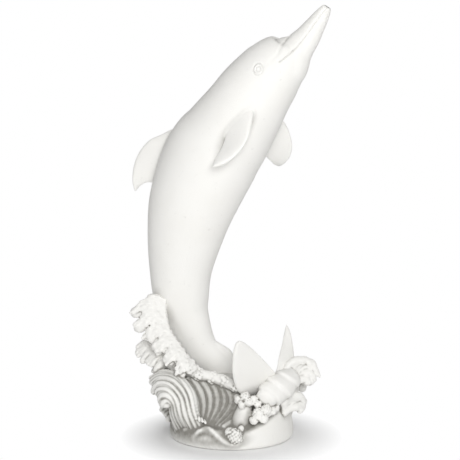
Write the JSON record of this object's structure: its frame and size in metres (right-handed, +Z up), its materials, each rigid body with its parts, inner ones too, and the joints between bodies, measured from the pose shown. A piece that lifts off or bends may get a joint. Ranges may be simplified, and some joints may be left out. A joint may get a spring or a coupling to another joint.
{
  "type": "dolphin spitter statue",
  "caption": "Garden pond statue of a dolphin leaping from curling waves, cast in one piece on a round base, with a water tube through to its beak.",
  "frame": {"origin": "middle of the flat underside of the base", "axes": "+Z up, +X to the right as the statue is shown from the front, with the beak up and to the right, +Y away from the viewer"},
  "size_m": [0.2512, 0.1732, 0.5548],
  "materials": {
    "antique_stone": "matt off-white cast stone resin with a grey-brown wash in the hollows",
    "tube": "black flexible tube"
  },
  "bodies": {
    "root": {"dolphin_on_waves": "antique_stone", "water_tube": "tube"}
  },
  "joints": []
}
